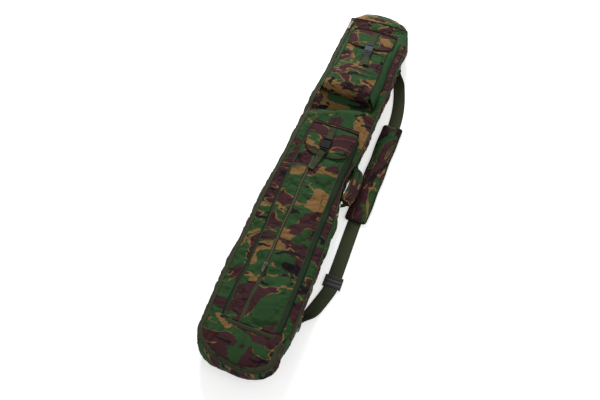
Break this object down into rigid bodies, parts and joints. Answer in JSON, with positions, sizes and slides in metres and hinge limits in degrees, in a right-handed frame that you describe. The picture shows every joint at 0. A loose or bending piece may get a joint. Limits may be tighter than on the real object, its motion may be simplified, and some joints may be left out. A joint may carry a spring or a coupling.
{
  "type": "fishing rod holdall",
  "caption": "Long padded camouflage rod holdall with buckled flap pockets, edge zip, carry handle and padded shoulder strap, lying on its back.",
  "frame": {"origin": "centre of the back face's footprint, on the ground", "axes": "+Y along the bag to its soft top end, +X to the side with the shoulder strap, +Z out of the front face with its pockets"},
  "size_m": [0.3, 1.3233, 0.138],
  "materials": {
    "camo_cloth": "printed woven cotton and polyester cloth",
    "plain_green_cloth": "plain woven green cloth",
    "olive_webbing": "ribbed woven webbing and zip tape",
    "dark_binding": "folded binding tape",
    "foam": "lining over closed-cell foam",
    "base_board": "matt sheet",
    "zip_coil": "satin coil",
    "buckle_plastic": "satin moulded plastic",
    "adjuster_plastic": "satin moulded plastic",
    "bright_metal": "plated wire",
    "zip_metal": "antiqued die casting"
  },
  "bodies": {
    "root": {"back_panel": "camo_cloth", "back_padding": "foam", "front_panel": "camo_cloth", "left_gusset": "camo_cloth", "right_gusset": "camo_cloth", "base_gusset": "camo_cloth", "base_stiffener": "base_board", "top_end_cap": "camo_cloth", "main_zip_tape_outer": "olive_webbing", "main_zip_chain": "zip_coil", "main_zip_tape_inner": "olive_webbing", "upper_pocket_front": "camo_cloth", "upper_pocket_left_gusset": "plain_green_cloth", "upper_pocket_right_gusset": "plain_green_cloth", "upper_pocket_bottom": "plain_green_cloth", "upper_flap_seam": "camo_cloth", "upper_anchor_webbing": "olive_webbing", "lower_pocket_sleeve": "camo_cloth", "lower_pocket_front": "camo_cloth", "pocket_zip_tape": "olive_webbing", "pocket_zip_chain": "zip_coil", "lower_pocket_left_gusset": "plain_green_cloth", "lower_pocket_right_gusset": "plain_green_cloth", "lower_pocket_binding": "olive_webbing", "lower_flap_seam": "camo_cloth", "upper_strap_tab": "olive_webbing", "lower_strap_tab": "olive_webbing", "strap_tab_patch": "olive_webbing", "handle_upper_patch": "olive_webbing", "handle_lower_patch": "olive_webbing"},
    "main_zip_slider": {"main_zip_slider": "zip_metal"},
    "main_zip_pull": {"main_zip_pull": "zip_metal"},
    "pocket_zip_slider": {"pocket_zip_slider": "zip_metal"},
    "pocket_zip_pull": {"pocket_zip_pull": "zip_metal"},
    "upper_flap": {"upper_flap": "camo_cloth", "upper_flap_binding": "dark_binding", "upper_flap_webbing": "olive_webbing", "upper_buckle_socket": "buckle_plastic"},
    "upper_buckle": {"upper_buckle_prong": "buckle_plastic", "upper_buckle_tail": "olive_webbing"},
    "upper_latch_left": {"upper_buckle_latch_left": "buckle_plastic"},
    "upper_latch_right": {"upper_buckle_latch_right": "buckle_plastic"},
    "lower_flap": {"lower_flap": "camo_cloth", "lower_flap_binding": "dark_binding", "lower_flap_webbing": "olive_webbing", "lower_buckle_socket": "buckle_plastic"},
    "lower_buckle": {"lower_buckle_prong": "buckle_plastic", "lower_buckle_tail": "olive_webbing"},
    "lower_latch_left": {"lower_buckle_latch_left": "buckle_plastic"},
    "lower_latch_right": {"lower_buckle_latch_right": "buckle_plastic"},
    "shoulder_strap": {"upper_strap_ring": "bright_metal", "lower_strap_ring": "bright_metal", "strap_webbing": "olive_webbing", "strap_webbing_return": "olive_webbing"},
    "shoulder_pad": {"shoulder_pad": "camo_cloth", "shoulder_pad_binding": "dark_binding", "pad_keeper": "olive_webbing"},
    "strap_adjuster": {"strap_adjuster": "adjuster_plastic"},
    "carry_handle": {"carry_handle_webbing": "olive_webbing", "carry_handle_grip": "camo_cloth"}
  },
  "joints": [
    {"name": "main_zip_slide", "type": "slide", "parent": "root", "child": "main_zip_slider", "axis": [-0.0138, -0.9999, 0], "range_m": [0, 1.11]},
    {"name": "main_zip_pull_turn", "type": "hinge", "parent": "main_zip_slider", "child": "main_zip_pull", "pos_m": [-0.07941, 0.545, 0.09245], "axis": [-0.9999, 0.0138, 0], "range_deg": [0, 170]},
    {"name": "pocket_zip_slide", "type": "slide", "parent": "root", "child": "pocket_zip_slider", "axis": [0, 0.9998, 0.0204], "range_m": [0, 0.29]},
    {"name": "pocket_zip_pull_turn", "type": "hinge", "parent": "pocket_zip_slider", "child": "pocket_zip_pull", "pos_m": [-0.007, -0.39401, 0.10558], "axis": [-1, 0, 0], "range_deg": [0, 170]},
    {"name": "upper_flap_lift", "type": "hinge", "parent": "root", "child": "upper_flap", "pos_m": [0, 0.51523, 0.10189], "axis": [-1, 0, 0], "range_deg": [0, 150]},
    {"name": "upper_buckle_release", "type": "slide", "parent": "root", "child": "upper_buckle", "axis": [0, -0.9925, 0.1221], "range_m": [0, 0.024]},
    {"name": "upper_latch_press", "type": "hinge", "parent": "upper_buckle", "child": "upper_latch_left", "pos_m": [0.0106, 0.39887, 0.11997], "axis": [0, -0.1221, -0.9925], "range_deg": [0, 7]},
    {"name": "upper_latch_press_right", "type": "hinge", "parent": "upper_buckle", "child": "upper_latch_right", "pos_m": [0.0254, 0.39887, 0.11997], "axis": [0, 0.1221, 0.9925], "range_deg": [0, 7]},
    {"name": "lower_flap_lift", "type": "hinge", "parent": "root", "child": "lower_flap", "pos_m": [0, 0.07996, 0.1119], "axis": [-1, 0, 0], "range_deg": [0, 150]},
    {"name": "lower_buckle_release", "type": "slide", "parent": "lower_flap", "child": "lower_buckle", "axis": [0, -0.9998, -0.0204], "range_m": [0, 0.014]},
    {"name": "lower_latch_press", "type": "hinge", "parent": "lower_buckle", "child": "lower_latch_left", "pos_m": [0.0066, -0.00681, 0.11438], "axis": [0, 0.0204, -0.9998], "range_deg": [0, 7]},
    {"name": "lower_latch_press_right", "type": "hinge", "parent": "lower_buckle", "child": "lower_latch_right", "pos_m": [0.0214, -0.00681, 0.11438], "axis": [0, -0.0204, 0.9998], "range_deg": [0, 7]},
    {"name": "shoulder_strap_swing", "type": "hinge", "parent": "root", "child": "shoulder_strap", "pos_m": [0.1188, 0, 0.044], "axis": [0, -1, 0], "range_deg": [0, 95]},
    {"name": "shoulder_pad_slide", "type": "slide", "parent": "shoulder_strap", "child": "shoulder_pad", "axis": [0, 1, 0], "range_m": [-0.03, 0.03]},
    {"name": "strap_adjuster_slide", "type": "slide", "parent": "shoulder_strap", "child": "strap_adjuster", "axis": [0, 1, 0], "range_m": [0, 0.14]},
    {"name": "carry_handle_swing", "type": "hinge", "parent": "root", "child": "carry_handle", "pos_m": [0.1148, -0.061, 0.045], "axis": [0, -1, 0], "range_deg": [-15, 15]}
  ],
  "couplings": [
    {"joint": "upper_latch_press_right", "follows": "upper_latch_press", "ratio": 1},
    {"joint": "lower_latch_press_right", "follows": "lower_latch_press", "ratio": 1}
  ]
}
